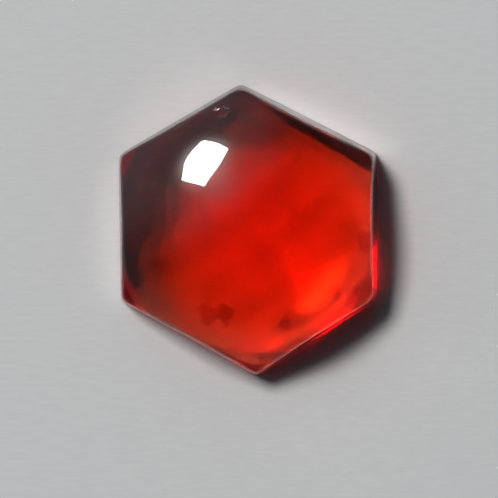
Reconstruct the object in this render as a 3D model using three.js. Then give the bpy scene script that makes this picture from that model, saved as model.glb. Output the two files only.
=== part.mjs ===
// A six-sided cabochon of red garnet: one piece of crystal with a flat back, a low girdle wall and a domed top.
// Lengths are in millimetres and +Z points up. The flat back lies on z = 0 with the middle of the stone on the
// Z axis. One corner points along +Y and one along -Y, so that straight sides face +X and -X.

import * as THREE from "three";
import { mergeVertices } from "three/addons/utils/BufferGeometryUtils.js";

// Heights above the flat back.
const GIRDLE_HEIGHT = 0.15;
const STONE_HEIGHT = 4.3;

// The girdle is the widest line of the stone. The back is bevelled in from it, and the wall leans in above it.
const BACK_BEVEL = 0.12;
const WALL_SLOPE = THREE.MathUtils.degToRad(85);

// The stone was ground by hand, so each straight side has its own bearing in degrees from +X, and its own
// distance from the middle of the stone.
const SIDES = [
  { bearing: 0, distance: 6.43 },
  { bearing: 63.1, distance: 6.2 },
  { bearing: 120.3, distance: 6.37 },
  { bearing: 180.8, distance: 6.43 },
  { bearing: 241.1, distance: 6.35 },
  { bearing: 302.5, distance: 6.57 },
];

// How sharp the corners are. High values give crisp corners, and a value of 4 gives a circle. The corners are
// crisp at the girdle, rounder at the top of the wall, and gone at ROUND_SHARE of the way out to the girdle.
const GIRDLE_SHARPNESS = 60;
const WALL_TOP_SHARPNESS = 20;
const ROUND_SHARPNESS = 4;
const WALL_TOP_SHARE = 0.95;
const ROUND_SHARE = 0.6;

// The dome is a ball cap. It was polished a little off the middle, so that its top lies to one side.
const DOME_RADIUS = 12;
const DOME_MIDDLE = { x: 0.5, y: 0.3 };

// Farther from the axis than EDGE_START the dome turns down more steeply, by EDGE_BEND times the square of the
// distance beyond it. The dome is drawn out to the corners as far as an outline of CORNER_SHARPNESS.
const EDGE_START = 4.45;
const EDGE_BEND = 0.068;
const CORNER_SHARPNESS = 14;

// Dome and wall flow into each other. A higher value makes the shoulder between them tighter.
const SHOULDER_TIGHTNESS = 7;

// How finely the surface is divided: stations along each side, and rings across the wall, shoulder and dome.
// The stations crowd towards the corners: 0 would space them evenly, and 1 is the most.
const STATIONS_PER_SIDE = 16;
const CORNER_CROWDING = 0.8;
const WALL_RINGS = 8;
const SHOULDER_RINGS = 9;
const DOME_RINGS = 14;
const SHOULDER_SHARES = { outer: 0.96, inner: 0.8 };

// Vertices nearer together than this are one vertex.
const MERGE_DISTANCE = 1e-4;

const bearings = SIDES.map((side) => THREE.MathUtils.degToRad(side.bearing));
const meanDistance = SIDES.reduce((sum, side) => sum + side.distance, 0) / SIDES.length;

// The bearing of the corner where one side meets the next, which is where both sides are equally far out.
function cornerBearing(index) {
  const next = (index + 1) % SIDES.length;
  const a = SIDES[index].distance;
  const b = SIDES[next].distance;
  const x = Math.cos(bearings[index]) * b - Math.cos(bearings[next]) * a;
  const y = Math.sin(bearings[index]) * b - Math.sin(bearings[next]) * a;
  const angle = Math.atan2(x, -y);
  return Math.cos(angle - bearings[index]) > 0 ? angle : angle + Math.PI;
}

const corners = SIDES.map((side, index) => cornerBearing(index));

// The radius of the six-sided outline in one direction. Every side that faces this way takes part, and the
// sharper the corners are, the more the nearest side alone decides.
function outlineRadius(angle, sharpness) {
  const total = SIDES.reduce((sum, side, index) => {
    const reach = Math.max(0, Math.cos(angle - bearings[index])) / side.distance;
    return sum + reach ** sharpness;
  }, 0);
  return total ** (-1 / sharpness);
}

// The direction of one station round the stone, counted from 0 to 1 for a full turn. Each side runs from one
// corner to the next, and its stations crowd towards the corners, where the outline turns.
function stationBearing(turn) {
  const along = (turn * SIDES.length) % SIDES.length;
  const index = Math.floor(along);
  const step = along - index;
  const crowded = step - (CORNER_CROWDING * Math.sin(2 * Math.PI * step)) / (2 * Math.PI);
  const from = corners[index];
  const span = THREE.MathUtils.euclideanModulo(corners[(index + 1) % SIDES.length] - from, 2 * Math.PI);
  return from + span * crowded;
}

// How sharp the corners of the ring at one share of the way out to the girdle are.
function ringSharpness(share) {
  if (share > WALL_TOP_SHARE) {
    const down = (share - WALL_TOP_SHARE) / (1 - WALL_TOP_SHARE);
    return THREE.MathUtils.lerp(WALL_TOP_SHARPNESS, GIRDLE_SHARPNESS, down);
  }
  const out = Math.max(0, (share - ROUND_SHARE) / (WALL_TOP_SHARE - ROUND_SHARE));
  return ROUND_SHARPNESS * (WALL_TOP_SHARPNESS / ROUND_SHARPNESS) ** out;
}

// How high the dome alone would stand above the girdle over one point of a ring.
function domeRise(share, bearing) {
  const radius = share * outlineRadius(bearing, Math.min(ringSharpness(share), CORNER_SHARPNESS));
  const x = radius * Math.cos(bearing) - DOME_MIDDLE.x;
  const y = radius * Math.sin(bearing) - DOME_MIDDLE.y;
  const capDrop = DOME_RADIUS - Math.sqrt(DOME_RADIUS ** 2 - x ** 2 - y ** 2);
  const beyond = Math.max(0, radius - EDGE_START);
  return STONE_HEIGHT - GIRDLE_HEIGHT - capDrop - EDGE_BEND * beyond ** 2;
}

// The height of the stone over one point of a ring: the lower one of dome and wall, blended at the shoulder.
function stoneHeight(share, bearing) {
  const wallRise = (1 - share) * meanDistance * Math.tan(WALL_SLOPE);
  const blended = domeRise(share, bearing) ** -SHOULDER_TIGHTNESS + wallRise ** -SHOULDER_TIGHTNESS;
  return GIRDLE_HEIGHT + blended ** (-1 / SHOULDER_TIGHTNESS);
}

// The shares of the way out to the girdle at which the rings of wall, shoulder and dome lie, from the girdle in.
function ringShares() {
  const zones = [
    { from: 1, to: SHOULDER_SHARES.outer, rings: WALL_RINGS },
    { from: SHOULDER_SHARES.outer, to: SHOULDER_SHARES.inner, rings: SHOULDER_RINGS },
    { from: SHOULDER_SHARES.inner, to: 0, rings: DOME_RINGS },
  ];
  const shares = zones.flatMap(({ from, to, rings }) =>
    Array.from({ length: rings }, (unused, ring) => THREE.MathUtils.lerp(from, to, ring / rings)),
  );
  return [...shares, 0];
}

// A round blank is turned first: the flat back, the girdle, and one ring for each share. Then every point is
// moved to the six-sided outline of its own ring, and to its own height.
function stoneGeometry() {
  const backShare = 1 - BACK_BEVEL / meanDistance;
  const shares = ringShares();
  const profile = [
    new THREE.Vector2(0, 0),
    new THREE.Vector2(backShare, 0),
    ...shares.map((share, ring) => new THREE.Vector2(share, GIRDLE_HEIGHT + ring)),
  ];
  const stations = STATIONS_PER_SIDE * SIDES.length;
  const blank = new THREE.LatheGeometry(profile, stations);
  blank.deleteAttribute("normal");
  blank.deleteAttribute("uv");
  const position = blank.getAttribute("position");
  for (let station = 0; station <= stations; station += 1) {
    const bearing = stationBearing((station % stations) / stations);
    profile.forEach((point, ring) => {
      const onBack = point.y === 0;
      const share = point.x;
      const sharpness = onBack ? GIRDLE_SHARPNESS : ringSharpness(share);
      const radius = share * outlineRadius(bearing, sharpness);
      const height = onBack ? 0 : stoneHeight(share, bearing);
      const vertex = station * profile.length + ring;
      position.setXYZ(vertex, radius * Math.cos(bearing), radius * Math.sin(bearing), height);
    });
  }
  const stone = mergeVertices(blank, MERGE_DISTANCE);
  stone.computeBoundingBox();
  const middle = stone.boundingBox.getCenter(new THREE.Vector3());
  stone.translate(-middle.x, -middle.y, 0);
  stone.computeVertexNormals();
  return stone;
}

const garnet = new THREE.MeshStandardMaterial({
  color: new THREE.Color(0.62, 0.03, 0.01),
  roughness: 0.05,
  metalness: 0,
  transparent: true,
  opacity: 0.85,
});

const stone = new THREE.Mesh(stoneGeometry(), garnet);
stone.name = "stone";

const cabochon = new THREE.Group();
cabochon.add(stone);

export default cabochon;
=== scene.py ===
# %% [markdown]
# # A six-sided garnet cabochon
# The real object is one piece of red garnet, ground and polished by hand: a flat back, a low steep
# wall and a smooth dome. This lesson makes it as one closed solid, gives it the finish of clear red
# crystal, and lights it so that it glows. The scene is in metres, with the flat back on z = 0. The
# stone's own sizes are written in millimetres, and MM turns them into metres.

import math

import bpy
import numpy as np
from mathutils import Matrix, Vector


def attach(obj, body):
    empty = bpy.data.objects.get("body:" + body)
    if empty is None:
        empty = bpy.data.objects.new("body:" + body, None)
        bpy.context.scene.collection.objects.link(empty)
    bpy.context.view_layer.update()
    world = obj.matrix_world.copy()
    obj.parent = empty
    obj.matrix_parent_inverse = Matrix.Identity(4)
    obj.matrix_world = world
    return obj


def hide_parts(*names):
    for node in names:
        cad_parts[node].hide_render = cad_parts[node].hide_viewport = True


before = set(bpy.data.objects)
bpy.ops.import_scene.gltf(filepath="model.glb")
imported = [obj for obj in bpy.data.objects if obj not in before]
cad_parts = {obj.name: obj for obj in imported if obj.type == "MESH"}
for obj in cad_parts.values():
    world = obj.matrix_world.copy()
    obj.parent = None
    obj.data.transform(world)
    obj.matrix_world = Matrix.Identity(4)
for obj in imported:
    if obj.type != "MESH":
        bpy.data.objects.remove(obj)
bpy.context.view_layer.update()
scene = bpy.context.scene
MM = 0.001
print("nodes:", sorted(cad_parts))

# %% [markdown]
# ## The measurements of the stone
# A cabochon cutter works from a few sizes: how far each straight side is from the middle, how high
# the girdle and the dome are, and how steep the wall is. The plain solid of this part was made from
# the same sizes, all but the waves, so both fit. A share runs from 0 on the axis of the stone to 1
# at the girdle, its widest line. Each wave has a height, a turn of phase per millimetre in x and in
# y, and a phase over the middle of the dome.

# %% The cutter's sizes, in millimetres and degrees
GIRDLE_HEIGHT = 0.15
STONE_HEIGHT = 4.3
BACK_BEVEL = 0.12
WALL_SLOPE = math.radians(85)
SIDE_BEARINGS = np.radians([0, 63.1, 120.3, 180.8, 241.1, 302.5])
SIDE_DISTANCES = np.array([6.43, 6.2, 6.37, 6.43, 6.35, 6.57])
MEAN_DISTANCE = SIDE_DISTANCES.mean()
GIRDLE_SHARPNESS = 60
WALL_TOP_SHARPNESS = 20
ROUND_SHARPNESS = 4
WALL_TOP_SHARE = 0.95
ROUND_SHARE = 0.6
DOME_RADIUS = 12
DOME_MIDDLE = (0.5, 0.3)
EDGE_START = 4.45
EDGE_BEND = 0.068
CORNER_SHARPNESS = 14
SHOULDER_TIGHTNESS = 7
print("mean distance of the sides:", round(float(MEAN_DISTANCE), 3), "mm")

# %% The waves that polishing left, in millimetres and radians
WAVE_HEIGHTS = np.array([0.0035, 0.0045, 0.0044])
WAVE_ACROSS = np.array([[0.83, 2.18], [-1.88, 2.49], [2.36, 1.03]])
WAVE_STARTS = np.array([0.087, 3.329, 1.479])
wave_lengths = 2 * math.pi / np.hypot(WAVE_ACROSS[:, 0], WAVE_ACROSS[:, 1])
print("wave lengths:", wave_lengths.round(2), "mm")


# %% [markdown]
# ## The outline
# Seen from above the stone is a hexagon with slightly rounded corners. Each side pushes the outline
# in to its own distance, and a power decides how crisp the corners are. For six equal sides a power
# of 4 gives a true circle, so one formula runs from the crisp girdle to the round crown.

# %% The six-sided outline
LEAST_REACH = 1e-12


def outline_radius(bearing, sharpness):
    reach = np.maximum(0, np.cos(bearing[:, None] - SIDE_BEARINGS)) / SIDE_DISTANCES
    log_reach = np.log(np.maximum(reach * MEAN_DISTANCE, LEAST_REACH))
    total = np.exp(log_reach * np.asarray(sharpness)[:, None]).sum(1)
    return MEAN_DISTANCE * total ** (-1 / np.asarray(sharpness))


def ring_sharpness(share):
    down = np.clip((share - WALL_TOP_SHARE) / (1 - WALL_TOP_SHARE), 0, 1)
    out = np.clip((share - ROUND_SHARE) / (WALL_TOP_SHARE - ROUND_SHARE), 0, 1)
    below = ROUND_SHARPNESS * (WALL_TOP_SHARPNESS / ROUND_SHARPNESS) ** out
    return below + (GIRDLE_SHARPNESS - WALL_TOP_SHARPNESS) * down


# %% [markdown]
# ## The dome
# The dome is a ball cap that turns down more steeply near its edge, and it meets the steep wall in
# a tight shoulder. A dome that is polished by hand also keeps faint waves, a few thousandths of a
# millimetre high and two or three millimetres long. They are far too low to feel, but they bend
# every reflection out of shape.

# %% The height of the dome and the wall over one place
LEAST_WALL_RISE = 1e-6


def polish_waves(x, y):
    phase = WAVE_ACROSS[:, 0] * x[:, None] + WAVE_ACROSS[:, 1] * y[:, None] + WAVE_STARTS
    return (WAVE_HEIGHTS * np.sin(phase)).sum(1)


def stone_height(share, bearing):
    radius = share * outline_radius(bearing, np.minimum(ring_sharpness(share), CORNER_SHARPNESS))
    x = radius * np.cos(bearing) - DOME_MIDDLE[0]
    y = radius * np.sin(bearing) - DOME_MIDDLE[1]
    cap_drop = DOME_RADIUS - np.sqrt(DOME_RADIUS**2 - x**2 - y**2)
    beyond = np.maximum(0, radius - EDGE_START)
    dome = STONE_HEIGHT - GIRDLE_HEIGHT - cap_drop - EDGE_BEND * beyond**2 + polish_waves(x, y)
    wall_rise = (1 - share) * MEAN_DISTANCE * math.tan(WALL_SLOPE)
    wall = np.maximum(LEAST_WALL_RISE, wall_rise)
    blended = dome**-SHOULDER_TIGHTNESS + wall**-SHOULDER_TIGHTNESS
    return GIRDLE_HEIGHT + blended ** (-1 / SHOULDER_TIGHTNESS)


# %% [markdown]
# ## Turning a round blank
# A cutter first makes a round preform. Here half of the upright section is drawn as a chain of
# points by extruding one vertex, and the chain is spun round the Z axis. Every ring of the blank
# stands a small step above the last one. Only its share matters, because it gets its own height
# later. The rings lie close together at the wall and the shoulder, where the surface turns quickly.

# %% Draw half of the section
BACK_RINGS = 20
STATIONS = 288
RING_STEP = 0.02
WALL_RINGS = 16
SHOULDER_RINGS = 28
DOME_RINGS = 40
SHOULDER_OUTER = 0.96
SHOULDER_INNER = 0.8
shares_up = np.concatenate(
    [
        np.linspace(1, SHOULDER_OUTER, WALL_RINGS + 1)[:-1],
        np.linspace(SHOULDER_OUTER, SHOULDER_INNER, SHOULDER_RINGS + 1)[:-1],
        np.linspace(SHOULDER_INNER, 0, DOME_RINGS + 1),
    ]
)
back_share = 1 - BACK_BEVEL / MEAN_DISTANCE
back_shares = np.linspace(0, back_share, BACK_RINGS + 1)
section = [(share * MEAN_DISTANCE, 0.0) for share in back_shares]
section += [
    (share * MEAN_DISTANCE, GIRDLE_HEIGHT + RING_STEP * ring)
    for ring, share in enumerate(shares_up)
]
print("points in the section:", len(section))


# %% Spin the section into a blank
MERGE_DISTANCE = 1e-7


def deselect_all():
    bpy.ops.object.select_all(action="DESELECT")


deselect_all()
bpy.ops.mesh.primitive_circle_add(vertices=3, radius=MM, location=(0, 0, 0))
stone = bpy.context.object
stone.name = "garnet_stone"
stone.data.name = "garnet_stone"
bpy.ops.object.mode_set(mode="EDIT")
bpy.ops.mesh.select_all(action="SELECT")
bpy.ops.mesh.merge(type="CENTER")
for (radius, height), (next_radius, next_height) in zip(section[:-1], section[1:]):
    step = ((next_radius - radius) * MM, 0, (next_height - height) * MM)
    bpy.ops.mesh.extrude_region_move(TRANSFORM_OT_translate={"value": step})
bpy.ops.mesh.select_all(action="SELECT")
bpy.ops.mesh.spin(steps=STATIONS, angle=2 * math.pi, center=(0, 0, 0), axis=(0, 0, 1))
bpy.ops.mesh.select_all(action="SELECT")
bpy.ops.mesh.remove_doubles(threshold=MERGE_DISTANCE)
bpy.ops.mesh.normals_make_consistent(inside=False)
bpy.ops.object.mode_set(mode="OBJECT")
print("blank:", len(stone.data.vertices), "vertices,", len(stone.data.polygons), "faces")


# %% [markdown]
# ## Grinding the six sides
# On the wheel, the cutter holds the blank against the lap side by side until the outline has six
# sides, and then lets wall and dome flow together. In the mesh, every vertex keeps its ring and is
# moved to the outline of that ring and to its own height. The stations round the stone are crowded
# towards the corners, where the outline turns: a crowding of 0 would space them evenly, and 1 is
# the most.

# %% Where the corners are
def corner_bearing(index):
    after = (index + 1) % len(SIDE_BEARINGS)
    a, b = SIDE_DISTANCES[index], SIDE_DISTANCES[after]
    first, second = SIDE_BEARINGS[index], SIDE_BEARINGS[after]
    x = math.cos(first) * b - math.cos(second) * a
    y = math.sin(first) * b - math.sin(second) * a
    angle = math.atan2(x, -y)
    return angle if math.cos(angle - first) > 0 else angle + math.pi


corners = np.array([corner_bearing(index) for index in range(len(SIDE_BEARINGS))])
print("corners at", np.degrees(corners).round(1) % 360, "degrees")

# %% Crowd the stations towards the corners
CORNER_CROWDING = 0.8


def crowd_to_corners(turn):
    along = (turn % 1) * len(corners)
    index = np.floor(along).astype(int) % len(corners)
    step = along - np.floor(along)
    crowded = step - CORNER_CROWDING * np.sin(2 * math.pi * step) / (2 * math.pi)
    span = (corners[(index + 1) % len(corners)] - corners[index]) % (2 * math.pi)
    return corners[index] + span * crowded


# %% Move every vertex to its ground place
def read_vertices(piece):
    places = np.zeros(len(piece.data.vertices) * 3)
    piece.data.vertices.foreach_get("co", places)
    return places.reshape(-1, 3) / MM


def write_vertices(piece, places):
    piece.data.vertices.foreach_set("co", (places * MM).ravel())
    piece.data.update()


blank = read_vertices(stone)
share = np.minimum(np.hypot(blank[:, 0], blank[:, 1]) / MEAN_DISTANCE, 1)
bearing = crowd_to_corners(np.arctan2(blank[:, 1], blank[:, 0]) / (2 * math.pi))
on_back = blank[:, 2] < GIRDLE_HEIGHT / 2
sharpness = np.where(on_back, GIRDLE_SHARPNESS, ring_sharpness(share))
radius = share * outline_radius(bearing, sharpness)
ground = np.stack(
    [
        radius * np.cos(bearing),
        radius * np.sin(bearing),
        np.where(on_back, 0, stone_height(share, bearing)),
    ],
    axis=1,
)
middle = (ground.min(0) + ground.max(0)) / 2
ground[:, 0] -= middle[0]
ground[:, 1] -= middle[1]
write_vertices(stone, ground)
print("stone in mm:", (ground.max(0) - ground.min(0)).round(3))


# %% Note where the wall and the flat back are, for the finish
POLISH_STARTS = 0.965
POLISH_FADE = 0.01
BACK_MARGIN = 1e-4
SMOOTH_ANGLE = math.radians(35)


def keep_on_points(piece, name, values):
    layer = piece.data.attributes.new(name, "FLOAT", "POINT")
    layer.data.foreach_set("value", np.asarray(values, dtype=np.float32))


wall_amount = np.where(on_back, 1.0, np.clip((share - POLISH_STARTS) / POLISH_FADE, 0, 1))
back_amount = (on_back & (share < back_share - BACK_MARGIN)).astype(float)
keep_on_points(stone, "ground_wall", wall_amount)
keep_on_points(stone, "flat_back", back_amount)
deselect_all()
stone.select_set(True)
bpy.context.view_layer.objects.active = stone
bpy.ops.object.shade_smooth_by_angle(angle=SMOOTH_ANGLE)
print("unpolished vertices:", int((wall_amount > 0).sum()), "flat back:", int(back_amount.sum()))


# %% [markdown]
# ## A small workbench for finishes
# A finish is a little net of nodes. To keep it readable, a socket is wrapped in a small class, so
# that sums can be written as in Python, and one method adds any other node. A fade runs from 0 to 1
# between two limits.

# %% Sums on sockets, and one way to add a node
class Reading:
    def __init__(self, bench, socket):
        self.bench = bench
        self.socket = socket

    def sum_with(self, operation, *values):
        sockets = dict(enumerate(values))
        return self.bench.add("ShaderNodeMath", {"operation": operation}, sockets)

    def __add__(self, other):
        return self.sum_with("ADD", self, other)

    def __radd__(self, other):
        return self.sum_with("ADD", other, self)

    def __sub__(self, other):
        return self.sum_with("SUBTRACT", self, other)

    def __rsub__(self, other):
        return self.sum_with("SUBTRACT", other, self)

    def __mul__(self, other):
        return self.sum_with("MULTIPLY", self, other)

    def __rmul__(self, other):
        return self.sum_with("MULTIPLY", other, self)

    def __truediv__(self, other):
        return self.sum_with("DIVIDE", self, other)

    def at_least(self, other):
        return self.sum_with("MAXIMUM", self, other)


class Bench:
    def __init__(self, tree):
        self.tree = tree
        tree.nodes.clear()

    def add(self, kind, settings=None, sockets=None, output=0):
        node = self.tree.nodes.new(kind)
        for name, value in (settings or {}).items():
            setattr(node, name, value)
        for key, value in (sockets or {}).items():
            if isinstance(value, Reading):
                self.tree.links.new(value.socket, node.inputs[key])
            else:
                node.inputs[key].default_value = value
        return Reading(self, node.outputs[output]) if len(node.outputs) else node

    def fade(self, value, low, high):
        return self.add(
            "ShaderNodeMapRange",
            {"interpolation_type": "SMOOTHSTEP"},
            {"Value": value, "From Min": low, "From Max": high},
        )

    def blend(self, amount, first, second):
        sockets = {0: amount, 6: first, 7: second}
        return self.add("ShaderNodeMix", {"data_type": "RGBA"}, sockets, output=2)


# %% [markdown]
# ## The finish of clear red garnet
# Garnet bends light strongly (IOR about 1.77) and takes its red from what it absorbs on the way
# through: hardly any red, but most of the green and nearly all of the blue within a few
# millimetres. So the crystal is plain transmission with plain absorption inside, and its surface is
# clear but for a few stains on the back. The dome is polished, while the back and the wall keep a
# satin surface from the grinding wheel. The absorption node takes one density for all colours, and
# a colour that says how far each is spared from it: red almost wholly, and blue, the deepest
# absorbed, by only a hundredth part.

# %% Values of the crystal
GARNET_IOR = 1.77
ABSORBED_PER_MM = np.array([0.001, 0.45, 0.7])
DEEPEST = 0.99
absorption_density = float(ABSORBED_PER_MM.max() / DEEPEST / MM)
absorption_colour = tuple(1 - ABSORBED_PER_MM / MM / absorption_density) + (1.0,)
POLISHED_ROUGHNESS = 0.0
WALL_ROUGHNESS = 0.25
BACK_ROUGHNESS = 0.12
HAZE_ROUGHNESS = 0.25
LEAST_HAZE = 0.6
LINE_DEPTH = 0.013
RELIEF = 0.06 * MM
print("absorption colour", np.round(absorption_colour, 3), "density", round(absorption_density))

# %% Start the crystal with how rough it is
garnet = bpy.data.materials.new("clear_garnet")
garnet.use_nodes = True
bench = Bench(garnet.node_tree)
wall = bench.add("ShaderNodeAttribute", {"attribute_name": "ground_wall"}, output="Fac")
back = bench.add("ShaderNodeAttribute", {"attribute_name": "flat_back"}, output="Fac")
roughness = POLISHED_ROUGHNESS + wall * (WALL_ROUGHNESS - POLISHED_ROUGHNESS)
roughness = roughness + back * (BACK_ROUGHNESS - WALL_ROUGHNESS)
place = bench.add("ShaderNodeTexCoord", {}, {}, output="Object")

# %% [markdown]
# ## Marks of wear
# Nothing cut by hand is perfect. Marks are round patches with ragged edges, set at given places as
# x, y and radius in millimetres. They run straight down through the stone, so the wall and back
# readings decide which surface they show on. A noise makes their edges ragged, and each mark has
# faded out at about its own radius.

# %% A way to set marks at given places
RAGGED_SCALE = 2 / MM
RAGGED_AMOUNT = 1.6
MARK_FADE = (-0.2, 0.4)
ragged = bench.add(
    "ShaderNodeTexNoise", {}, {"Vector": place, "Scale": RAGGED_SCALE, "Detail": 3.0}
)
from_above = bench.add("ShaderNodeVectorMath", {"operation": "MULTIPLY"}, {0: place, 1: (1, 1, 0)})


def marks(places):
    together = None
    for x, y, radius in places:
        ends = {0: from_above, 1: (x * MM, y * MM, 0)}
        away = bench.add("ShaderNodeVectorMath", {"operation": "DISTANCE"}, ends, output="Value")
        mark = bench.fade(ragged * RAGGED_AMOUNT - away / (radius * MM), *MARK_FADE)
        together = mark if together is None else together.at_least(mark)
    return together


# %% Haze that polishing left, in smears
SMEAR_SCALE = 0.6 / MM
SMEAR_FADE = (0.45, 0.7)
smears = bench.add(
    "ShaderNodeTexNoise", {}, {"Vector": place, "Scale": SMEAR_SCALE, "Detail": 4.0}
)
haze = LEAST_HAZE + (1 - LEAST_HAZE) * bench.fade(smears, *SMEAR_FADE)

# %% Pits in the dome, and grinding lines round the wall
PITS = [
    (-4.6, 2.36, 0.17),
    (-0.5, 5.4, 0.15),
    (-3.4, 5.2, 0.15),
    (-1.25, 5.85, 0.35),
]
LINE_SQUEEZE = 12
LINE_SCALE = 4 / MM
pits = (1 - wall) * marks(PITS)
stretched = bench.add(
    "ShaderNodeMapping", {}, {"Vector": place, "Scale": (1, 1, LINE_SQUEEZE)}
)
lines = bench.add("ShaderNodeTexNoise", {}, {"Vector": stretched, "Scale": LINE_SCALE})
relief = LINE_DEPTH * lines * (wall - back) - pits
uneven = bench.add("ShaderNodeBump", {}, {"Height": relief, "Distance": RELIEF, "Strength": 1.0})
print("pits:", len(PITS))

# %% Stains on the back
STAINS = [
    (-1.6, -3.55, 0.6),
    (-0.9, -3.6, 0.55),
    (1.65, -3.9, 0.4),
    (5.0, -0.4, 0.6),
    (3.8, -2.6, 0.45),
    (4.6, -2.7, 0.55),
]
STAIN_COLOUR = (0.7, 0.5, 0.5, 1)
CLEAR = (1, 1, 1, 1)
tint = bench.blend(back * marks(STAINS), CLEAR, STAIN_COLOUR)
print("stains:", len(STAINS))

# %% Put the crystal together
surface = bench.add(
    "ShaderNodeBsdfPrincipled",
    {},
    {
        "Base Color": tint,
        "Roughness": roughness,
        "IOR": GARNET_IOR,
        "Transmission Weight": 1.0,
        "Coat Weight": haze,
        "Coat Roughness": HAZE_ROUGHNESS,
        "Normal": uneven,
    },
)
inside = bench.add(
    "ShaderNodeVolumeAbsorption",
    {},
    {"Color": absorption_colour, "Density": absorption_density},
)
bench.add("ShaderNodeOutputMaterial", {}, {"Surface": surface, "Volume": inside})
stone.data.materials.append(garnet)
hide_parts("stone")
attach(stone, "root")
print("nodes in the crystal:", len(garnet.node_tree.nodes))

# %% [markdown]
# ## The table it lies on
# The stone lies on a plain pale surface. A gap much thinner than a hair keeps air under the stone,
# so that light leaves the crystal and comes back from the surface below, which is what makes the
# stone glow.

# %% Lay the floor
FLOOR_SIZE = 3.0
AIR_GAP = 0.02 * MM
GRAIN_STRETCH = 0.15
GRAIN_SCALE = 6 / MM
PALER = (0.92, 0.92, 0.92, 1)
DARKER = (0.84, 0.84, 0.84, 1)
deselect_all()
bpy.ops.mesh.primitive_plane_add(size=FLOOR_SIZE, location=(0, 0, -AIR_GAP))
floor = bpy.context.object
floor.name = "pale_floor"
paper = bpy.data.materials.new("pale_paper")
paper.use_nodes = True
bench = Bench(paper.node_tree)
place = bench.add("ShaderNodeTexCoord", {}, {}, output="Object")
stretched = bench.add(
    "ShaderNodeMapping", {}, {"Vector": place, "Scale": (GRAIN_STRETCH, 1, 1)}
)
grain = bench.add(
    "ShaderNodeTexNoise", {}, {"Vector": stretched, "Scale": GRAIN_SCALE, "Detail": 4.0}
)
shade = bench.blend(grain, DARKER, PALER)
matt = bench.add(
    "ShaderNodeBsdfPrincipled",
    {},
    {"Base Color": shade, "Roughness": 1.0, "Specular IOR Level": 0.0},
)
bench.add("ShaderNodeOutputMaterial", {}, {"Surface": matt})
floor.data.materials.append(paper)
print("floor:", FLOOR_SIZE, "m wide,", round(AIR_GAP / MM, 3), "mm under the stone")

# %% [markdown]
# ## The light
# One four-sided soft light stands to the upper left, about halfway up the sky and rolled a little.
# It gives the bright spot on the dome and the soft shadow to the lower right. The room is dark
# overhead, and dimly lit with cool light below the key light and along the horizon, which the edges
# of the dome mirror as a grey sheen.

# %% Hang the key light
LIGHT_BEARING = math.radians(134.5)
LIGHT_HEIGHT = math.radians(49.8)
LIGHT_DISTANCE = 1.2
LIGHT_WIDTH = math.radians(20.5)
LIGHT_DEPTH = math.radians(16)
LIGHT_ROLL = math.radians(24)
LIGHT_POWER = 24.0
LIGHT_COLOUR = (1, 0.95, 0.93)


def direction(bearing, height):
    flat = math.cos(height)
    return Vector((flat * math.cos(bearing), flat * math.sin(bearing), math.sin(height)))


key_place = direction(LIGHT_BEARING, LIGHT_HEIGHT) * LIGHT_DISTANCE
bpy.ops.object.light_add(type="AREA", location=key_place)
key = bpy.context.object
key.name = "key_light"
key.data.shape = "RECTANGLE"
key.data.size = 2 * LIGHT_DISTANCE * math.tan(LIGHT_WIDTH / 2)
key.data.size_y = 2 * LIGHT_DISTANCE * math.tan(LIGHT_DEPTH / 2)
key.data.color = LIGHT_COLOUR
key.data.energy = LIGHT_POWER * LIGHT_DISTANCE**2
key.rotation_euler = (-key_place).to_track_quat("-Z", "Y").to_euler()
key.rotation_euler.rotate_axis("Z", LIGHT_ROLL)
print("key light:", round(key.data.size, 3), "m by", round(key.data.size_y, 3), "m")

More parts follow.
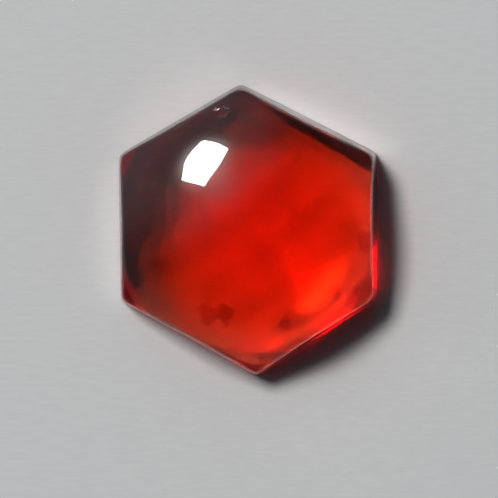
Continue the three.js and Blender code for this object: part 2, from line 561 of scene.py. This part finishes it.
# %% Light the room
SIDE_GLOW = 1.2
SIDE_BEARING = math.radians(135)
SIDE_HEIGHT = math.radians(25)
SIDE_FADE = (0.45, 0.9)
HORIZON_GLOW = 0.6
HORIZON_FADE = (0.0, 0.7)
NIGHT = 0.02
COOL = (0.6, 0.88, 1, 1)
room = bpy.data.worlds.new("dim_room")
scene.world = room
room.use_nodes = True
bench = Bench(room.node_tree)
towards = bench.add("ShaderNodeTexCoord", {}, {}, output="Generated")
upwards = bench.add("ShaderNodeSeparateXYZ", {}, {0: towards}, output="Z")
facing = bench.add(
    "ShaderNodeVectorMath",
    {"operation": "DOT_PRODUCT"},
    {0: towards, 1: direction(SIDE_BEARING, SIDE_HEIGHT)},
    output="Value",
)
side_glow = SIDE_GLOW * bench.fade(facing, *SIDE_FADE)
horizon = NIGHT + HORIZON_GLOW * (1 - bench.fade(upwards, *HORIZON_FADE))
sky = bench.add("ShaderNodeBackground", {}, {"Color": COOL, "Strength": side_glow + horizon})
bench.add("ShaderNodeOutputWorld", {}, {"Surface": sky})
print("nodes in the room:", len(room.node_tree.nodes))

# %% [markdown]
# ## The camera
# The camera hangs almost straight above the stone and looks down, a hair off plumb.

# %% Hang the camera
CAMERA_DISTANCE = 0.25
FIELD_WIDTH = 24.9 * MM
CAMERA_LEAN = math.radians(1.5)
CAMERA_BEARING = math.radians(30)
AIM = Vector((0.05, -0.94, 0)) * MM
NEAREST_SEEN = 0.001
lens = bpy.data.cameras.new("overhead")
lens.clip_start = NEAREST_SEEN
lens.sensor_fit = "HORIZONTAL"
lens.angle = 2 * math.atan(FIELD_WIDTH / 2 / CAMERA_DISTANCE)
camera = bpy.data.objects.new("overhead", lens)
scene.collection.objects.link(camera)
backwards = direction(CAMERA_BEARING, math.pi / 2 - CAMERA_LEAN)
sideways = Vector((0, 1, 0)).cross(backwards).normalized()
upright = backwards.cross(sideways)
camera.matrix_world = Matrix((sideways, upright, backwards)).transposed().to_4x4()
camera.location = AIM + backwards * CAMERA_DISTANCE
scene.camera = camera
print("camera angle:", round(math.degrees(lens.angle), 2), "degrees")

# %% [markdown]
# ## Developing the picture
# The exposure and gamma bring the pale table and the dark edges of the stone to their places.
# Blurred and clamped light paths would rob the glow inside the stone, so both are switched off.

# %% Set how the picture is developed
EXPOSURE = -1.70
GAMMA = 0.82
scene.view_settings.view_transform = "Standard"
scene.view_settings.look = "None"
scene.view_settings.exposure = EXPOSURE
scene.view_settings.gamma = GAMMA
scene.cycles.blur_glossy = 0.0
scene.cycles.sample_clamp_indirect = 0.0
print("exposure:", EXPOSURE, "gamma:", GAMMA)
